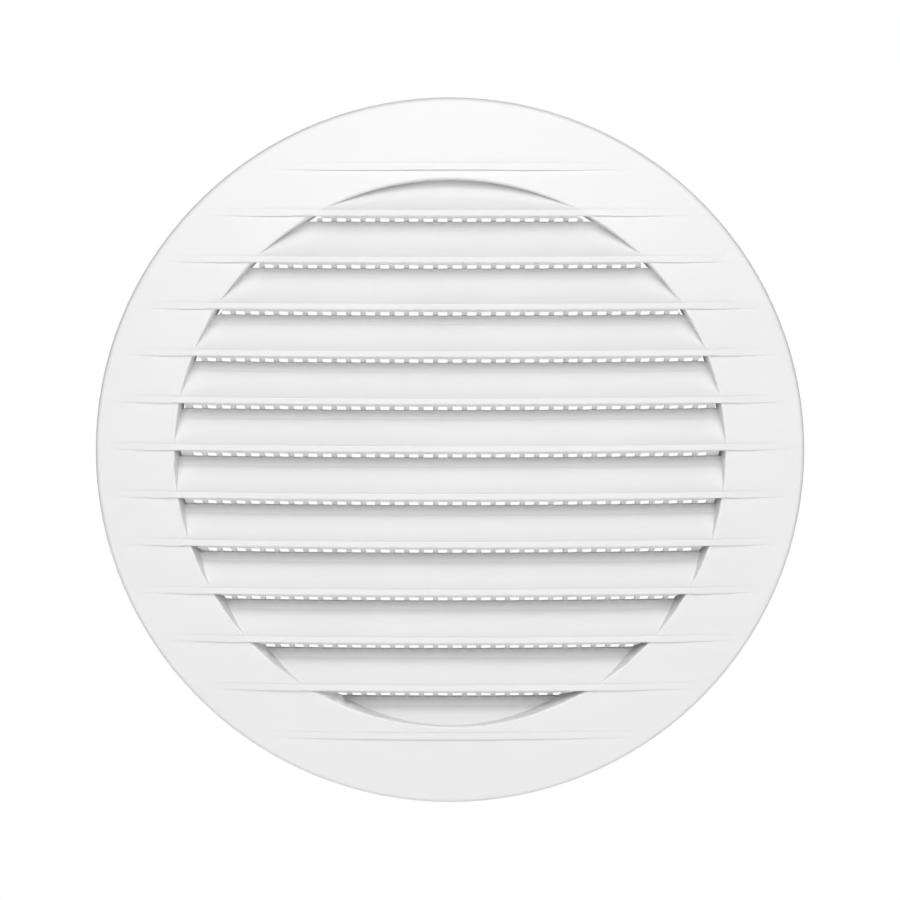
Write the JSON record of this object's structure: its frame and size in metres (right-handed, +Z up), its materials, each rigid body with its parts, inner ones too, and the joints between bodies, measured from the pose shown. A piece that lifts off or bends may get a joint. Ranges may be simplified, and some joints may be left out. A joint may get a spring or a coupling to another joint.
{
  "type": "round louvred ventilation grille",
  "caption": "Round domed ventilation grille with fixed horizontal louvres and a fine insect screen, on a duct spigot held by hinged spring legs.",
  "frame": {"origin": "on the duct's axis, in the plane where the flange's rim meets the wall", "axes": "+Z up, +X to the viewer's right, +Y into the duct; the louvred face looks along -Y"},
  "size_m": [0.15, 0.0499, 0.15],
  "materials": {
    "white_asa": "satin moulded",
    "screen_white": "fine moulded",
    "spigot_white": "moulded",
    "gasket_foam": "closed-cell foam",
    "zinc_screw": "zinc-plated",
    "pin_steel": "turned",
    "spring_wire": "drawn stainless wire",
    "sleeve_grey": "soft tube"
  },
  "bodies": {
    "grille": {"louvre_front": "white_asa", "insect_screen": "screen_white", "duct_spigot": "spigot_white", "wall_gasket": "gasket_foam", "spigot_screw_upper_left": "zinc_screw", "spigot_screw_upper_right": "zinc_screw", "spigot_screw_lower_left": "zinc_screw", "spigot_screw_lower_right": "zinc_screw", "pivot_pin_top": "pin_steel", "pivot_pin_right": "pin_steel", "pivot_pin_bottom": "pin_steel", "pivot_pin_left": "pin_steel"},
    "leg_top": {"spring_leg_top": "spring_wire", "leg_sleeve_top": "sleeve_grey"},
    "leg_right": {"spring_leg_right": "spring_wire", "leg_sleeve_right": "sleeve_grey"},
    "leg_bottom": {"spring_leg_bottom": "spring_wire", "leg_sleeve_bottom": "sleeve_grey"},
    "leg_left": {"spring_leg_left": "spring_wire", "leg_sleeve_left": "sleeve_grey"}
  },
  "joints": [
    {"name": "leg_top_pivot", "type": "hinge", "parent": "grille", "child": "leg_top", "pos_m": [0, 0.011, 0.0574], "axis": [-1, 0, 0], "range_deg": [0, 35], "stiffness_Nm_per_rad": 0.06, "springref_deg": -20.05},
    {"name": "leg_right_pivot", "type": "hinge", "parent": "grille", "child": "leg_right", "pos_m": [0.0574, 0.011, 0], "axis": [0, 0, 1], "range_deg": [0, 35], "stiffness_Nm_per_rad": 0.06, "springref_deg": -20.05},
    {"name": "leg_bottom_pivot", "type": "hinge", "parent": "grille", "child": "leg_bottom", "pos_m": [0, 0.011, -0.0574], "axis": [1, 0, 0], "range_deg": [0, 35], "stiffness_Nm_per_rad": 0.06, "springref_deg": -20.05},
    {"name": "leg_left_pivot", "type": "hinge", "parent": "grille", "child": "leg_left", "pos_m": [-0.0574, 0.011, 0], "axis": [0, 0, -1], "range_deg": [0, 35], "stiffness_Nm_per_rad": 0.06, "springref_deg": -20.05}
  ]
}
